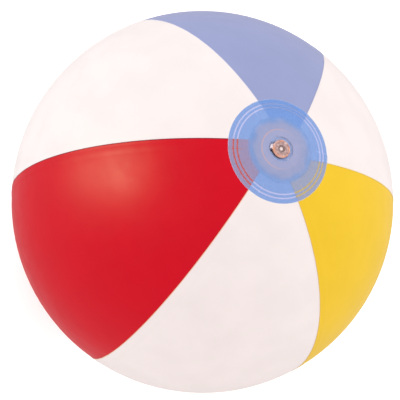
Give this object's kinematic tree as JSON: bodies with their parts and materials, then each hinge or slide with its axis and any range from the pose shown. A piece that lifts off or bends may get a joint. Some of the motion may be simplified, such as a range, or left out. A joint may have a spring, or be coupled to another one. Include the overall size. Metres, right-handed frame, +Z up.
{
  "type": "inflatable beach ball",
  "caption": "Inflated vinyl ball of welded coloured panels with a disc over each pole and a push-in valve with a captive plug.",
  "frame": {"origin": "middle of the flat that the bottom disc makes on the ground", "axes": "+Z up along the ball's axis, from the end disc to the valve disc; a welded seam starts at azimuth 0, on +X"},
  "size_m": [0.3256, 0.325, 0.3219],
  "materials": {
    "white_vinyl": "satin film",
    "red_vinyl": "satin film",
    "blue_vinyl": "satin film",
    "yellow_vinyl": "satin film",
    "disc_vinyl": "tinted clear film",
    "valve_vinyl": "clear soft moulding"
  },
  "bodies": {
    "ball": {"panel_yellow": "yellow_vinyl", "panel_white_1": "white_vinyl", "panel_blue": "blue_vinyl", "panel_white_2": "white_vinyl", "panel_red": "red_vinyl", "panel_white_3": "white_vinyl", "valve_disc": "disc_vinyl", "end_disc": "disc_vinyl", "valve_flange": "valve_vinyl", "valve_diaphragm": "valve_vinyl"},
    "stem": {"valve_stem": "valve_vinyl", "plug_strap": "valve_vinyl"},
    "plug": {"valve_plug": "valve_vinyl"},
    "flap": {"check_flap": "valve_vinyl"}
  },
  "joints": [
    {"name": "stem_push", "type": "slide", "parent": "ball", "child": "stem", "axis": [0, 0, 1], "range_m": [0, 0.012], "deforming": ["valve_diaphragm"]},
    {"name": "plug_swing", "type": "hinge", "parent": "stem", "child": "plug", "pos_m": [-0.00479, -0.00551, 0.32081], "axis": [0.7547, -0.6561, 0], "range_deg": [0, 115]},
    {"name": "flap_open", "type": "hinge", "parent": "stem", "child": "flap", "pos_m": [0.00348, 0.004, 0.30251], "axis": [0.7547, -0.6561, 0], "range_deg": [0, 35], "stiffness_Nm_per_rad": 0.00002, "springref_deg": -17.19}
  ]
}
